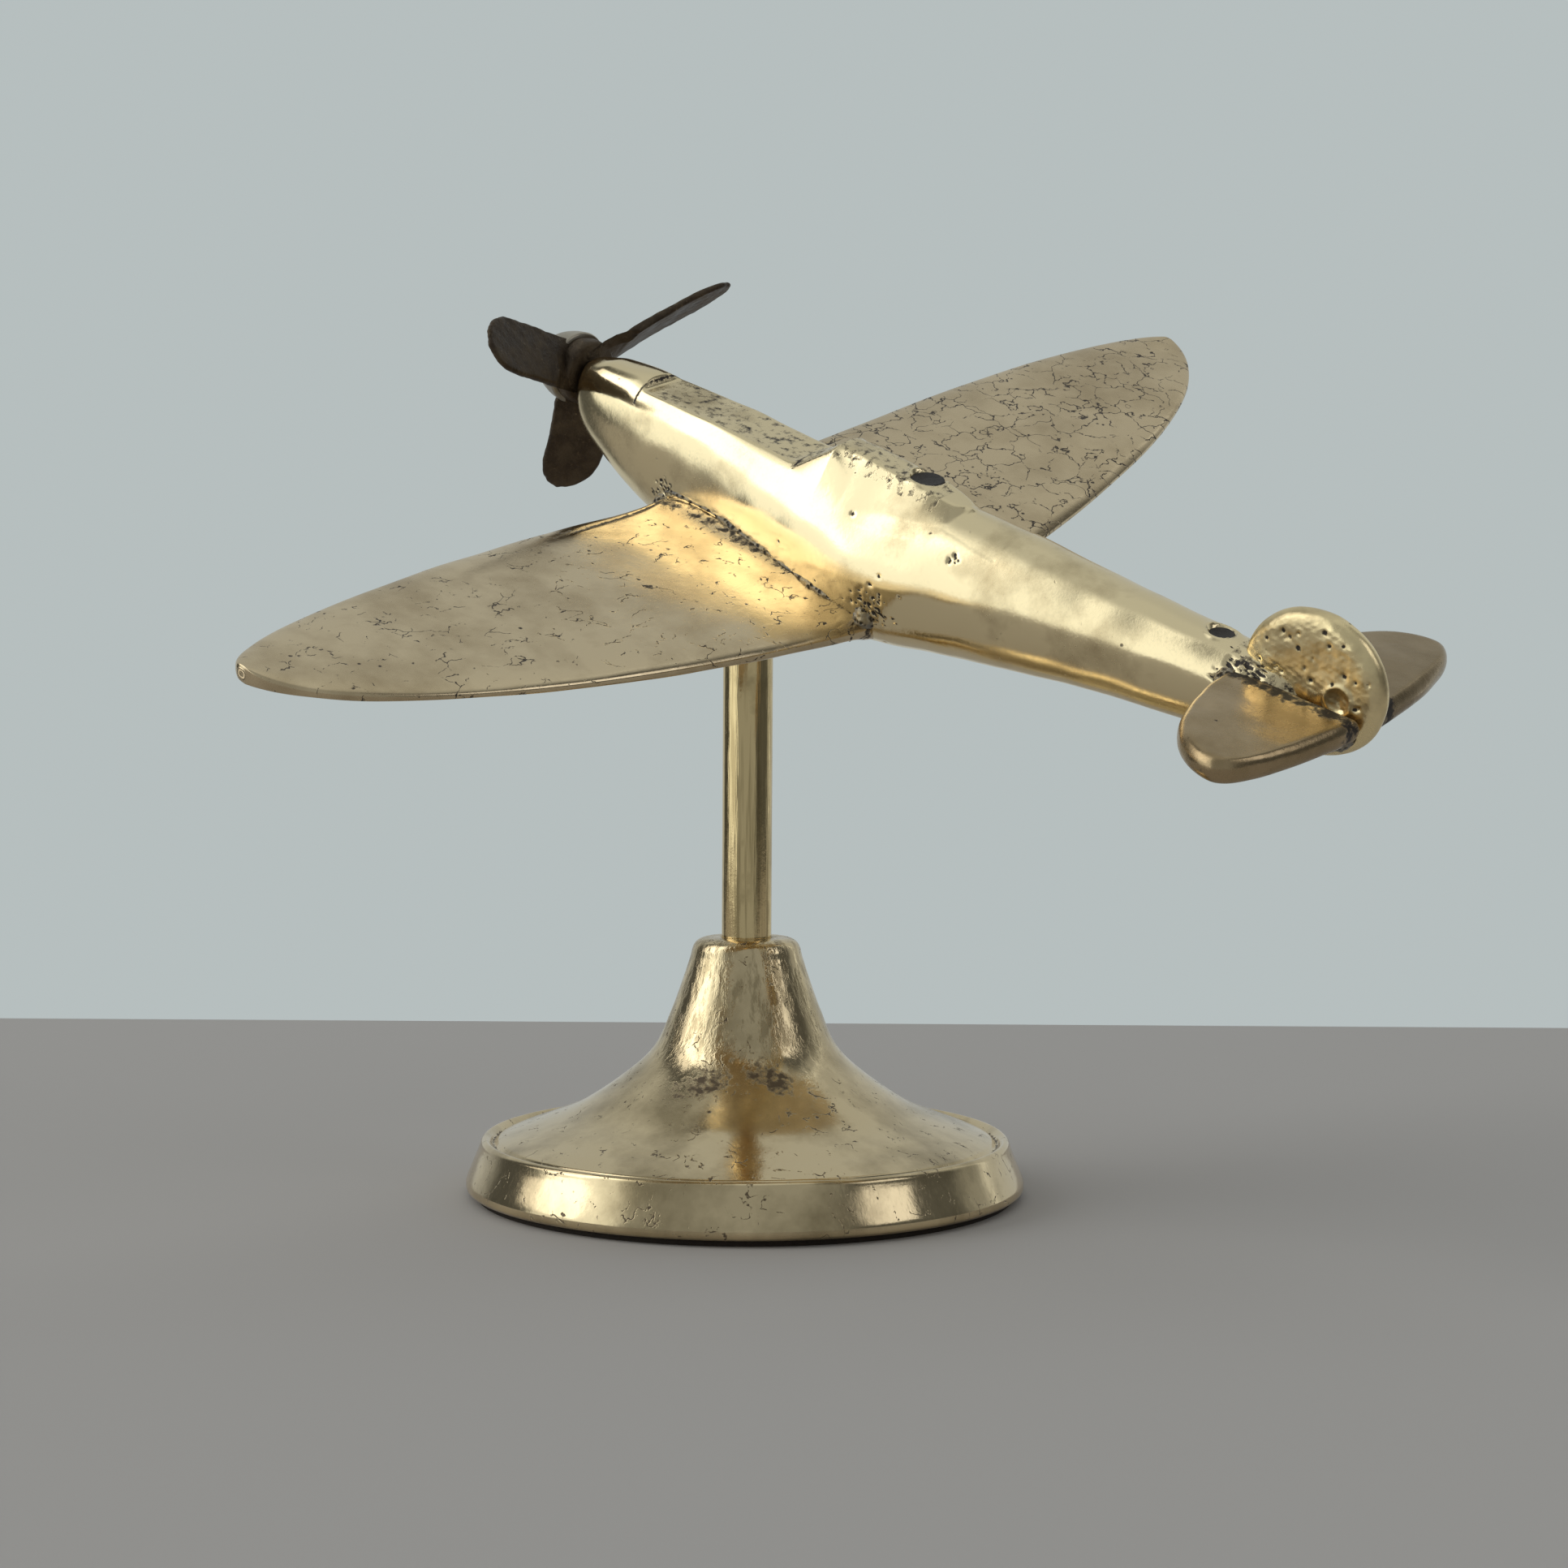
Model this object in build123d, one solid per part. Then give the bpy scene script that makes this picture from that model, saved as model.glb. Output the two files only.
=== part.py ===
from build123d import *
from math import cos, pi, radians, sin, sqrt, tan
import os

# Cast brass desk model of a low-wing fighter aeroplane, flying nose-up in a banked turn on a
# turned brass stand. Millimetres. The origin is the middle of the base's resting face, +Z is up,
# +X is the way the aeroplane is heading and +Y is its port side.

# ---- Driving dimensions: the stand ----
base_radius = 44.45          # 3 1/2 inch turned base
base_top = 41.0              # top of the bell, where the post comes out
felt_radius = 42.8           # pad under the base, just inside its edge
felt_thickness = 1.0
post_radius = 3.97           # 5/16 inch brass rod
post_top = 108.4             # end of the post, inside the belly
socket_floor = 27.0          # shoulder that the post stands on, inside the bell
tenon_radius = 2.4           # turned and threaded lower end of the post
web_bottom = 21.0            # underside of the bell's inner web
washer_thickness = 0.8
nut_height = 4.0
nut_across_flats = 8.0
tenon_end = 14.6

# ---- Driving dimensions: the aeroplane, in its own frame ----
# x runs forward along the fuselage, y to port and z up; the post's axis crosses its origin.
flight_height = 105.8        # height of the aeroplane's origin over the table
nose_up = 20.0               # degrees
bank_to_port = 18.0
belly_bore_clearance = 0.06  # radial, round the post
lower_power = 2.3            # of the fuselage's lower half; 2 would be an ellipse, more is squarer

half_span = 102.2            # along the wing
wing_incidence = 5.0         # degrees, leading edge up
wing_dihedral = 5.44
wing_root_y = 6.2            # each wing's end face, inside its pocket in the fuselage
wing_mid_x = -3.6            # line of the greatest span, from which the chord is measured
wing_chord_ahead = 16.3
wing_chord_behind = 31.3
wing_power_ahead = 1.97      # shape of the leading and trailing edges towards the tip
wing_power_behind = 1.79
wing_thickness_root = 5.2
wing_thickness_tip = 2.6
wing_section_power = 2.7     # flat in the middle, round at the edges

tail_half_span = 27.6
tail_root_y = 2.4
tail_x = -108.2
tail_z = 11.6
tail_chord_ahead = 14.5
tail_chord_behind = 6.8
tail_power = 2.15
tail_thickness = 4.0

fin_x = -105.5
fin_z = 14.6
fin_radius_x = 11.2
fin_radius_z = 10.3
fin_thickness = 4.0
fin_foot = 6.4               # how far down the fin is let into the tail cone
tail_cone_end = -105.0

thrust_z = 14.8              # height of the propeller's axis
nose_x = 36.6
boss_radius = 5.4
boss_back = 37.2
boss_front = 40.2
spinner_radius = 6.0
spinner_length = 8.0
pin_radius = 1.2
pin_head_radius = 2.4
pin_head_height = 1.2
propeller_bore = 1.26
blade_pitch = 39.0           # degrees out of the disc
blade_chord = 9.6
blade_thickness = 1.3
pin_root = 26.0              # where the pin ends, inside the nose
pin_gap = 0.3                # between the boss and the pin's head
# Each blade: its angle from port towards the top, its length, and how many degrees it has been bent
# back. The lower one is broken short and bent forward.
blades = {"left": (26.5, 25.4, 4.4), "lower": (-90.0, 22.0, -12.0), "right": (159.0, 29.5, 11.5)}

# Fuselage stations: x, half width, underside z, top z, and the power of the upper half's section,
# which is square along the cowling and narrow under the canopy.
stations = [
    (nose_x, 3.0, 9.8, 17.0, 2.3),
    (36.1, 4.0, 8.0, 17.8, 2.3),
    (34.4, 5.1, 5.8, 18.4, 2.3),
    (30.5, 6.0, 3.2, 19.0, 2.3),
    (20.0, 7.0, -2.2, 19.2, 2.6),
    (5.0, 7.8, -6.1, 19.0, 2.7),
    (-10.0, 9.4, -8.5, 17.9, 2.4),
    (-30.0, 11.5, -7.0, 18.8, 1.6),
    (-50.0, 9.9, -3.2, 18.2, 1.8),
    (-70.0, 7.8, 0.1, 16.9, 2.1),
    (-90.0, 5.9, 2.2, 15.9, 2.3),
    (-99.0, 5.0, 3.3, 15.3, 2.3),
    (-103.0, 4.2, 4.4, 14.4, 2.3),
    (tail_cone_end, 3.2, 5.6, 12.6, 2.3),
]


def in_flight(shape):
    """Turn a piece from the aeroplane's own frame into its banked, nose-up attitude."""
    return Pos(0, 0, flight_height) * Rot(0, -nose_up, 0) * Rot(-bank_to_port, 0, 0) * shape


def rounded_section(half_width, half_height, lower, upper, count=24):
    """Corner points of a superellipse, as (across, up) pairs: its lower half has one power and its
    upper half another."""
    points = []
    for step in range(count):
        angle = 2 * pi * (step + 0.5) / count
        power = upper if sin(angle) > 0 else lower
        across = abs(cos(angle)) ** (2 / power) * half_width
        up = abs(sin(angle)) ** (2 / power) * half_height
        points.append((across if cos(angle) > 0 else -across, up if sin(angle) > 0 else -up))
    return points


def closed_face(points):
    """Face inside a smooth closed curve through the points."""
    return make_face(Spline(*points, periodic=True))


# ---- The stand ----
def base_bell():
    """Hollow casting: a flared bell on a banded rim, bored down its middle for the post."""
    shoulder = 5.6
    with BuildSketch(Plane.XZ) as profile:
        with BuildLine():
            flare_top = (8.9, 38.0)
            flare_foot = (39.3, 9.0)
            Polyline(flare_foot, (39.9, 8.3), (40.4, 8.3))
            bead = ThreePointArc((40.4, 8.3), (41.4, 9.2), (42.2, 8.2))
            Polyline(bead @ 1, (42.5, 7.2), (base_radius, 2.4), (base_radius, felt_thickness))
            inner_top = (9.0, web_bottom)
            Polyline((base_radius, felt_thickness), (40.6, felt_thickness), (39.6, 5.2))
            Spline((39.6, 5.2), (31.0, 8.6), (22.6, 12.4), (14.4, 18.6))
            Polyline((14.4, 18.6), inner_top, (tenon_radius, web_bottom), (tenon_radius, socket_floor))
            Polyline((tenon_radius, socket_floor), (post_radius, socket_floor), (post_radius, base_top))
            Line((post_radius, base_top), (shoulder, base_top))
            Spline((shoulder, base_top), (6.9, 40.85), (7.9, 40.35), (8.5, 39.5), flare_top)
            Spline(flare_top, (9.9, 34.9), (11.8, 29.6), (14.6, 23.5), (19.3, 19.0), (26.6, 14.1),
                   (33.0, 11.4), (36.5, 10.1), flare_foot)
        make_face()
    return revolve(profile.sketch, Axis.Z)


def base_felt():
    """Disc of felt glued under the rim, which is what the stand rests on."""
    return extrude(Circle(felt_radius), felt_thickness)


def post():
    """Plain rod: it stands in the bell on its shoulder, and its tenon passes through the web."""
    rod = Pos(0, 0, socket_floor) * extrude(Circle(post_radius), post_top - socket_floor)
    rod = chamfer(rod.edges().sort_by(Axis.Z)[-1], 0.5)
    tenon = Pos(0, 0, tenon_end) * extrude(Circle(tenon_radius), socket_floor - tenon_end)
    return rod + tenon


def post_washer():
    """Flat washer between the web and the nut."""
    ring = Circle(5.2) - Circle(tenon_radius)
    return Pos(0, 0, web_bottom - washer_thickness) * extrude(ring, washer_thickness)


def post_nut():
    """Hexagon nut that pulls the post down onto its shoulder."""
    flats = RegularPolygon(nut_across_flats / 2, 6, major_radius=False) - Circle(tenon_radius)
    return Pos(0, 0, web_bottom - washer_thickness - nut_height) * extrude(flats, nut_height)


# ---- The aeroplane's castings ----
def slope(index, value):
    """Rate of change of one value of the stations at a station, along x."""
    before = stations[max(index - 1, 0)]
    after = stations[min(index + 1, len(stations) - 1)]
    return (after[value] - before[value]) / (after[0] - before[0])


def station_between(index, t):
    """Station a fraction t of the way from one station to the next, on a smooth cubic curve."""
    here, there = stations[index], stations[index + 1]
    gap = there[0] - here[0]
    values = [here[0] + gap * t]
    for value in (1, 2, 3, 4):
        start = (2 * t ** 3 - 3 * t ** 2 + 1) * here[value]
        end = (3 * t ** 2 - 2 * t ** 3) * there[value]
        lean = gap * ((t ** 3 - 2 * t ** 2 + t) * slope(index, value)
                      + (t ** 3 - t ** 2) * slope(index + 1, value))
        values.append(start + end + lean)
    return values


def fuselage_body():
    """Loft through the stations and two more in each gap, each a superellipse."""
    steps = [(index, t) for index in range(len(stations) - 1) for t in (0, 1 / 3, 2 / 3)]
    rings = [station_between(index, t) for index, t in steps] + [stations[-1]]
    faces = []
    for x, half_width, underside, top, upper_power in rings:
        middle = (underside + top) / 2
        points = rounded_section(half_width, (top - underside) / 2, lower_power, upper_power)
        faces.append(closed_face([(x, across, middle + up) for across, up in points]))
    return loft(faces, ruled=True)


def cockpit_hump():
    """Canopy: a windscreen that slopes up to a narrow brow, a ridged roof, flat side panes, and a
    back that fairs into the spine."""
    # Each frame: x, half width at the sill, half width and z of the roof's edge, and half width and z
    # of the ridge.
    frames = [(-12.5, 7.6, 4.9, 16.4, 2.0, 16.6), (-19.5, 8.6, 3.6, 20.8, 2.2, 21.6),
              (-25.0, 8.8, 5.0, 18.0, 2.4, 21.4), (-38.0, 8.6, 4.9, 17.2, 3.4, 20.1),
              (-54.0, 7.6, 4.2, 15.6, 1.6, 17.2)]
    sill_z = 12.6
    faces = []
    for x, sill, edge, edge_z, ridge, ridge_z in frames:
        half = [(sill, sill_z), (edge, edge_z), (ridge, ridge_z)]
        outline = half + [(-across, up) for across, up in reversed(half)]
        faces.append(make_face(Polyline(*[(x, across, up) for across, up in outline], close=True)))
    return loft(faces, ruled=True)


def cowl_flat():
    """Metal filed off the top of the cowling: it leaves a flat from the nose's rounded cap, where
    there is a step, to the foot of the windscreen."""
    side_view = [(21.5, 18.0), (5.0, 17.8), (-13.5, 16.7), (-13.5, 24.0), (21.5, 24.0)]
    sketch = Plane.XZ * make_face(Polyline(*side_view, close=True))
    return extrude(sketch, 12, both=True)


def wing(side):
    """One wing casting. side is 1 for port and -1 for starboard. Its plan is two half ovals
    about one line, and its section is a superellipse, so it has thick round edges."""
    faces = []
    root = wing_root_y / half_span
    count = 14
    for step in range(count):
        reach = root + (0.9985 - root) * sin(pi / 2 * step / (count - 1))
        ahead = wing_chord_ahead * sqrt(1 - reach ** wing_power_ahead)
        behind = wing_chord_behind * sqrt(1 - reach ** wing_power_behind)
        thickness = wing_thickness_root + (wing_thickness_tip - wing_thickness_root) * reach
        thickness = min(thickness, 0.9 * (ahead + behind))
        middle_x = wing_mid_x + (ahead - behind) / 2
        y = half_span * reach
        z = tan(radians(wing_dihedral)) * y
        outline = rounded_section((ahead + behind) / 2, thickness / 2, wing_section_power,
                                  wing_section_power)
        faces.append(closed_face([(middle_x + along, side * y, z + up) for along, up in outline]))
    return Rot(0, -wing_incidence, 0) * loft(faces, ruled=True)


def tailplane(side):
    """One half of the tailplane: a thick D-shaped plate with a rounded edge."""
    ahead = [(tail_x + tail_chord_ahead * sqrt(1 - t ** tail_power), t) for t in (0.5, 0.8, 0.95)]
    behind = [(tail_x - tail_chord_behind * sqrt(1 - t ** tail_power), t) for t in (0.95, 0.8, 0.5)]
    front = (tail_x + tail_chord_ahead, side * tail_root_y)
    back = (tail_x - tail_chord_behind, side * tail_root_y)
    rim = [front] + [(x, side * t * tail_half_span) for x, t in ahead]
    rim += [(tail_x, side * tail_half_span)] + [(x, side * t * tail_half_span) for x, t in behind]
    with BuildSketch() as plan:
        with BuildLine():
            Spline(*rim, back)
            Line(back, front)
        make_face()
    plate = Pos(0, 0, tail_z - tail_thickness / 2) * extrude(plan.sketch, tail_thickness)
    round_edges = [edge for edge in plate.edges() if edge.geom_type != GeomType.LINE]
    return fillet(round_edges, 0.42 * tail_thickness)


def fin_rudder():
    """Fin and rudder in one: a thick oval disc on edge, with a rounded rim."""
    disc = Plane.XZ * Pos(fin_x, fin_z) * Ellipse(fin_radius_x, fin_radius_z)
    plate = extrude(disc, fin_thickness / 2, both=True)
    return fillet(plate.edges().filter_by(lambda edge: edge.length > 20), 0.42 * fin_thickness)


def large_solids(shape, least_volume):
    """The solids of a shape, without the slivers that a cut leaves."""
    return [solid for solid in shape.solids() if solid.volume > least_volume]


def spine_plug(x, y, top_z, radius):
    """Short dark metal plug standing in the spine, its face a little below the skin."""
    return Pos(x, y, top_z - 3.4) * extrude(Circle(radius), 3.0)


# ---- The propeller ----
def blade(angle, length, bent_back):
    """Paddle blade with a round end, standing out of the boss along its angle."""
    half = blade_chord / 2
    outline = [(0, -0.8 * half), (0.35 * length, -0.92 * half), (0.7 * length, -half),
               (0.93 * length, -0.68 * half), (length, 0), (0.93 * length, 0.68 * half),
               (0.7 * length, half), (0.35 * length, 0.92 * half), (0, 0.8 * half)]
    with BuildSketch() as plan:
        with BuildLine():
            Spline(*outline)
            Line(outline[-1], outline[0])
        make_face()
    plate = extrude(plan.sketch, blade_thickness / 2, both=True)
    # The plan's x becomes the blade's length and its y the chord.
    pitched = Rot(90 + blade_pitch, 0, 0) * plate
    upright = Rot(0, 0, 90 + bent_back) * pitched
    return Pos((boss_back + boss_front) / 2, 0, thrust_z) * Rot(angle, 0, 0) * upright


def along_thrust(x, shape):
    """Stand a shape that rises from z = 0 on the propeller's axis at x, pointing forward."""
    return Pos(x, 0, thrust_z) * Rot(0, 90, 0) * shape


def nose_clearance():
    """Round space that the nose needs as the propeller turns: the back corners of the blades' roots
    are filed away to it, about half a millimetre clear of the fuselage."""
    # Radius from the propeller's axis, and x.
    side_view = [(0, boss_back), (5.6, boss_back), (7.5, 36.7), (9.7, 35.0), (12.4, 31.0), (0, 31.0)]
    profile = Plane.XZ * make_face(Polyline(*side_view, close=True))
    return along_thrust(0, revolve(profile, Axis.Z))


def propeller():
    """Round boss with three blades, bored to turn on its pin."""
    body = along_thrust(boss_back, extrude(Circle(boss_radius), boss_front - boss_back))
    for angle, length, bent_back in blades.values():
        body += blade(angle, length, bent_back)
    bore = along_thrust(boss_back - 6, extrude(Circle(propeller_bore), 14))
    trim = along_thrust(boss_front, extrude(Circle(spinner_radius + 0.01), 10))
    return body - bore - trim - nose_clearance()


def spinner():
    """Hollow dome soldered to the boss, over the pin's head."""
    outer = [(spinner_radius, 0), (0.87 * spinner_radius, 0.5 * spinner_length),
             (0.5 * spinner_radius, 0.86 * spinner_length), (0, spinner_length)]
    with BuildSketch(Plane.XZ) as profile:
        with BuildLine():
            Spline(*outer, tangents=[(0, 1), (-1, 0)])
            Polyline((0, spinner_length), (0, 4.0), (3.4, 4.0), (3.4, 0), (spinner_radius, 0))
        make_face()
    return along_thrust(boss_front, revolve(profile.sketch, Axis.Z))


def propeller_pin():
    """Steel pin driven into the nose, with a flat head that keeps the propeller on."""
    head_back = boss_front + pin_gap
    shank = along_thrust(pin_root, extrude(Circle(pin_radius), head_back - pin_root))
    head = along_thrust(head_back, extrude(Circle(pin_head_radius), pin_head_height))
    return shank + head


def propeller_washer():
    """Thin washer on the pin, between the nose and the boss."""
    ring = Circle(2.4) - Circle(pin_radius)
    return along_thrust(nose_x, extrude(ring, 0.4))


# ---- Assembly: the castings are let into the fuselage and soldered ----
wings = {"port": wing(1), "starboard": wing(-1)}
tails = {"port": tailplane(1), "starboard": tailplane(-1)}
plug_places = {"front": (-34.8, -0.8, 20.6, 2.6), "rear": (-89.5, -0.4, 16.0, 1.9)}
plugs = {name: spine_plug(*place) for name, place in plug_places.items()}
pin = propeller_pin()

under_slot = Pos(tail_cone_end, 0, fin_foot) * Box(20, 20, 20, align=(Align.MIN, Align.CENTER, Align.MAX))
fin = fin_rudder() - under_slot
for half in tails.values():
    fin -= half

body = fuselage_body() - cowl_flat() + cockpit_hump()
for piece in [*wings.values(), *tails.values(), fin, pin]:
    body -= piece
for x, y, top_z, radius in plug_places.values():
    body -= Pos(x, y, top_z - 3.4) * extrude(Circle(radius), 8)
body = in_flight(large_solids(body, 20)[0])
bore_radius = post_radius + belly_bore_clearance
body -= Pos(0, 0, 60) * extrude(Circle(bore_radius), post_top + 0.05 - 60)

cutters = [body] + [in_flight(piece) for piece in [*wings.values(), *tails.values(), fin]]


def solder(places):
    """Round lumps of hard solder, each a point and a radius, cut back to the castings that it
    joins."""
    lumps = []
    for point, radius in places:
        lump = in_flight(Pos(*point) * Sphere(radius))
        for cutter in cutters:
            lump -= cutter
        lumps += large_solids(lump, 3)
    return Compound(lumps)


def wing_solder(side):
    """Solder at the front and the back of one wing root."""
    return solder([((12.6, side * 7.4, 2.2), 2.4), ((-35.4, side * 11.4, 0.4), 2.8)])


tail_solder_places = [((-94.2, side * 4.8, 11.8), 2.2) for side in (1, -1)]
tail_solder_places += [((-112.0, side * 2.6, 9.4), 2.5) for side in (1, -1)]

nodes = {
    "base_bell": base_bell(),
    "base_felt": base_felt(),
    "post": post(),
    "post_washer": post_washer(),
    "post_nut": post_nut(),
    "fuselage": body,
    "wing_port": in_flight(wings["port"]),
    "wing_starboard": in_flight(wings["starboard"]),
    "wing_solder_port": wing_solder(1),
    "wing_solder_starboard": wing_solder(-1),
    "tailplane_port": in_flight(tails["port"]),
    "tailplane_starboard": in_flight(tails["starboard"]),
    "fin_rudder": in_flight(fin),
    "tail_solder": solder(tail_solder_places),
    "spine_plug_front": in_flight(plugs["front"]),
    "spine_plug_rear": in_flight(plugs["rear"]),
    "propeller_pin": in_flight(pin),
    "propeller_washer": in_flight(propeller_washer()),
    "propeller": in_flight(propeller()),
    "spinner": in_flight(spinner()),
}

os.makedirs("parts", exist_ok=True)
for name, shape in nodes.items():
    export_step(shape, f"parts/{name}.step")
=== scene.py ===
import bpy
import mathutils
import numpy as np
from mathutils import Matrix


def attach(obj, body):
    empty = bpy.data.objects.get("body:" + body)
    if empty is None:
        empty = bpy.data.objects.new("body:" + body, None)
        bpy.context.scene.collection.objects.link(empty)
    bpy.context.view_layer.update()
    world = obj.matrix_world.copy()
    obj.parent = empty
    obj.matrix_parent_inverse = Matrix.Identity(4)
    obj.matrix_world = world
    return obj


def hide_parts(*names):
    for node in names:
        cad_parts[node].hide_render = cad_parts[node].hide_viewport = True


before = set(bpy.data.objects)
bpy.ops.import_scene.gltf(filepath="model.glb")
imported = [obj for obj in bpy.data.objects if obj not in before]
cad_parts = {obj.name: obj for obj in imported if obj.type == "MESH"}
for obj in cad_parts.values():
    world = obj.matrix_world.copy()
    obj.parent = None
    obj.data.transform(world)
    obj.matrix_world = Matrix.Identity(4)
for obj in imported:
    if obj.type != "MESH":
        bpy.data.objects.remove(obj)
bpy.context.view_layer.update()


# ---- Base bell ----
# A hollow brass casting, skimmed smooth on a lathe outside: a steep bell that sweeps out into a
# broad flare, then a groove, a rolled bead and a tapered band. The bell is polished bright with
# streaks down it, and the flare keeps a fine pebbly skin.

def through(points, per_gap):
    """Smooth curve through the points: a cubic in each gap, whose slope at each point is that of
    the chord between its neighbours. Returns per_gap places in each gap, and the last point."""
    points = np.asarray(points, float)
    padded = np.vstack([2 * points[0] - points[1], points, 2 * points[-1] - points[-2]])
    before, here, there, after = padded[:-3], padded[1:-2], padded[2:-1], padded[3:]
    t = (np.arange(per_gap) / per_gap)[None, :, None]
    lean_here, lean_there = (there - before)[:, None] / 2, (after - here)[:, None] / 2
    curve = (2 * t**3 - 3 * t**2 + 1) * here[:, None] + (3 * t**2 - 2 * t**3) * there[:, None]
    curve = curve + (t**3 - 2 * t**2 + t) * lean_here + (t**3 - t**2) * lean_there
    return np.vstack([curve.reshape(-1, points.shape[1]), points[-1:]])


def wander(points, size, seed, waves=9):
    """Smooth random height from about -1 to 1 at each point: the mean of sine waves that run in
    random directions, with lengths around size."""
    rng = np.random.default_rng(seed)
    ways = rng.normal(size=(waves, 3))
    ways *= (2 * np.pi / (size * rng.uniform(0.7, 1.5, waves)) / np.linalg.norm(ways, axis=1))[:, None]
    phases = rng.uniform(0, 2 * np.pi, waves)
    return np.sin(points @ ways.T + phases).sum(axis=-1) / np.sqrt(waves * 2)


def outward(rings):
    """Unit normal at each point of a grid whose second way runs round: the cross product of its
    two central differences, turned to point away from the rings' own middles."""
    along = np.gradient(rings, axis=0)
    around = np.roll(rings, -1, axis=1) - np.roll(rings, 1, axis=1)
    normal = np.cross(along, around)
    normal /= np.linalg.norm(normal, axis=2, keepdims=True) + 1e-12
    lean = (normal * (rings - rings.mean(axis=1, keepdims=True))).sum()
    return normal if lean > 0 else -normal


MM = 0.001


def skin(name, rings, closed_loop=False, **marks):
    """Closed mesh over a grid of rings x around x 3, in millimetres. The rings join up in a loop,
    or else the first and the last close on a middle point. marks are values at the grid's points,
    kept as attributes for the material. Faces are turned so that the enclosed volume is positive."""
    count, around = rings.shape[:2]
    vertices = rings.reshape(-1, 3)
    row = np.arange(count if closed_loop else count - 1)[:, None]
    here, there = row * around, ((row + 1) % count) * around
    place = np.arange(around)[None, :]
    beside = (place + 1) % around
    quads = np.stack([here + place, here + beside, there + beside, there + place], axis=2).reshape(-1, 4)
    faces = quads.tolist()
    if not closed_loop:
        first, last = len(vertices), len(vertices) + 1
        vertices = np.vstack([vertices, rings[0].mean(axis=0), rings[-1].mean(axis=0)])
        end = (count - 1) * around
        ring = np.arange(around)
        fore = np.stack([np.full(around, first), (ring + 1) % around, ring], axis=1)
        aft = np.stack([np.full(around, last), end + ring, end + (ring + 1) % around], axis=1)
        faces += fore.tolist() + aft.tolist()
    corners = vertices[quads[:, 0]], vertices[quads[:, 1]], vertices[quads[:, 2]]
    if (np.cross(corners[0], corners[1]) * corners[2]).sum() < 0:
        faces = [face[::-1] for face in faces]
    mesh = bpy.data.meshes.new(name)
    mesh.from_pydata((vertices * MM).tolist(), [], faces)
    mesh.polygons.foreach_set("use_smooth", np.ones(len(mesh.polygons), bool))
    for mark, values in marks.items():
        values = np.append(values.ravel(), [] if closed_loop else [values[0].mean(), values[-1].mean()])
        layer = mesh.attributes.new(mark, "FLOAT", "POINT")
        layer.data.foreach_set("value", values.astype(np.float32))
    mesh.update()
    piece = bpy.data.objects.new(name, mesh)
    bpy.context.collection.objects.link(piece)
    return piece


def turned(profile, around):
    """Rings of a turned piece: each point of the profile, a radius and a height, is carried round
    the z axis."""
    profile = np.asarray(profile, float)
    turn = np.linspace(0, 2 * np.pi, around, endpoint=False)
    radius, height = profile[:, None, 0], profile[:, None, 1]
    return np.stack([radius * np.cos(turn), radius * np.sin(turn), height + 0 * turn], axis=2)


def add(tree, kind, inputs=None, **settings):
    """Add a shader node. An input given another node's output is linked to it, and any other
    input is set."""
    node = tree.nodes.new("ShaderNode" + kind)
    for setting, value in settings.items():
        setattr(node, setting, value)
    for socket, value in (inputs or {}).items():
        if isinstance(value, bpy.types.NodeSocket):
            tree.links.new(value, node.inputs[socket])
        else:
            node.inputs[socket].default_value = value
    return node


def ramp(tree, value, low, high, bottom=0.0, top=1.0):
    """Straight rise from bottom to top as a value goes from low to high, held at both ends."""
    inputs = {"Value": value, "From Min": low, "From Max": high, "To Min": bottom, "To Max": top}
    return add(tree, "MapRange", inputs).outputs["Result"]


def blend_colours(tree, share, first, second):
    """Colour between two, by share."""
    node = add(tree, "Mix", {"Factor": share}, data_type="RGBA")
    for socket, value in ((6, first), (7, second)):
        if isinstance(value, bpy.types.NodeSocket):
            tree.links.new(value, node.inputs[socket])
        else:
            node.inputs[socket].default_value = (*value, 1)
    return node.outputs[2]


def calc(tree, operation, first, second):
    """One arithmetic node."""
    return add(tree, "Math", {0: first, 1: second}, operation=operation).outputs[0]


def new_material(name):
    """Empty material with its Object coordinates, its shader and the shader's output."""
    material = bpy.data.materials.new(name)
    material.use_nodes = True
    tree = material.node_tree
    tree.nodes.clear()
    place = add(tree, "TexCoord").outputs["Object"]
    shader = add(tree, "BsdfPrincipled")
    output = add(tree, "OutputMaterial", {"Surface": shader.outputs[0]})
    return material, tree, place, shader


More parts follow.
